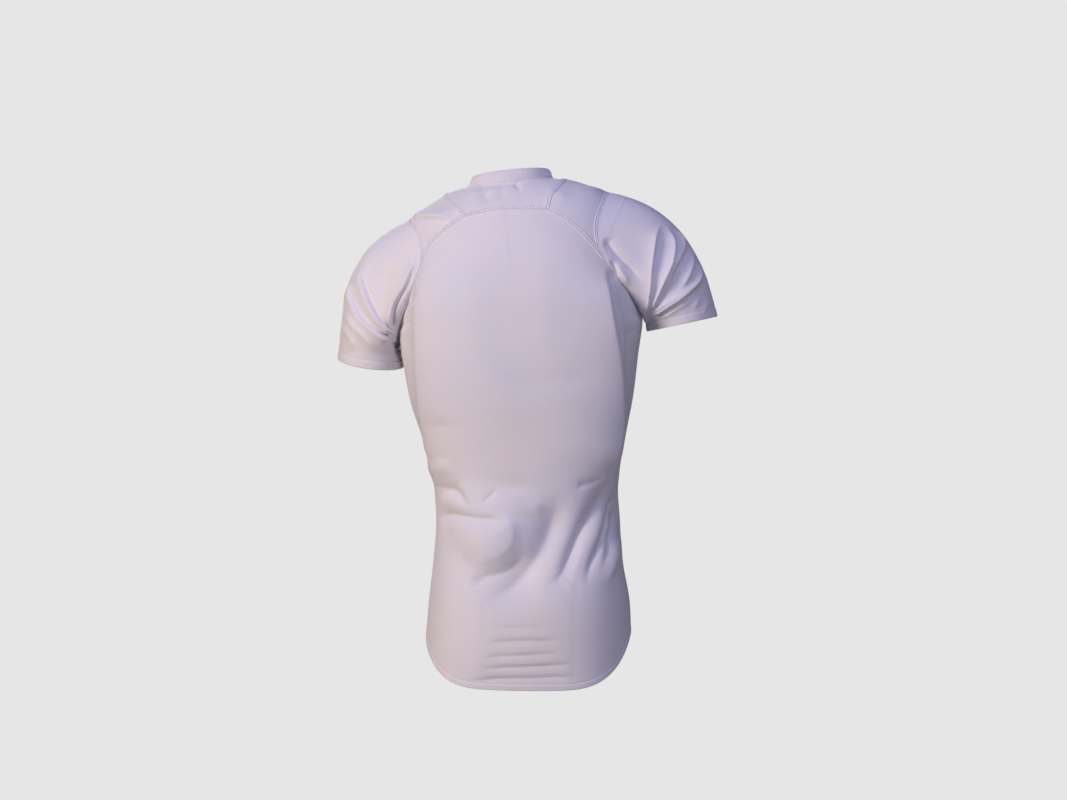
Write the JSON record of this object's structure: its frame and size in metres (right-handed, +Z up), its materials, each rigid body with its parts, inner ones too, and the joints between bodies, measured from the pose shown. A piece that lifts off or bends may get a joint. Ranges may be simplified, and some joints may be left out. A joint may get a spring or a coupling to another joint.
{
  "type": "bulletproof t-shirt",
  "caption": "Short-sleeved close-fitting shirt in its worn, hollow shape, with an arched back yoke seam, a flat stiff form in the centre back and a rounded shirt-tail hem.",
  "frame": {"origin": "middle of the shoulder line at the base of the neck, where a wearer's shoulders hold the shirt up", "axes": "+Z up along the body, -Y out of the front of the shirt, +X towards the wearer's left"},
  "size_m": [0.5444, 0.2367, 0.7264],
  "materials": {
    "white_knit": "smooth white stretch jersey with a faint lilac cast and a soft sheen",
    "neck_rib": "fine white rib knit"
  },
  "bodies": {
    "root": {"back_panel": "white_knit", "back_yoke": "white_knit", "shoulder_left": "white_knit", "shoulder_right": "white_knit", "side_panel_left": "white_knit", "side_panel_right": "white_knit", "front_panel": "white_knit", "sleeve_left": "white_knit", "sleeve_right": "white_knit", "neck_band": "neck_rib"}
  },
  "joints": []
}
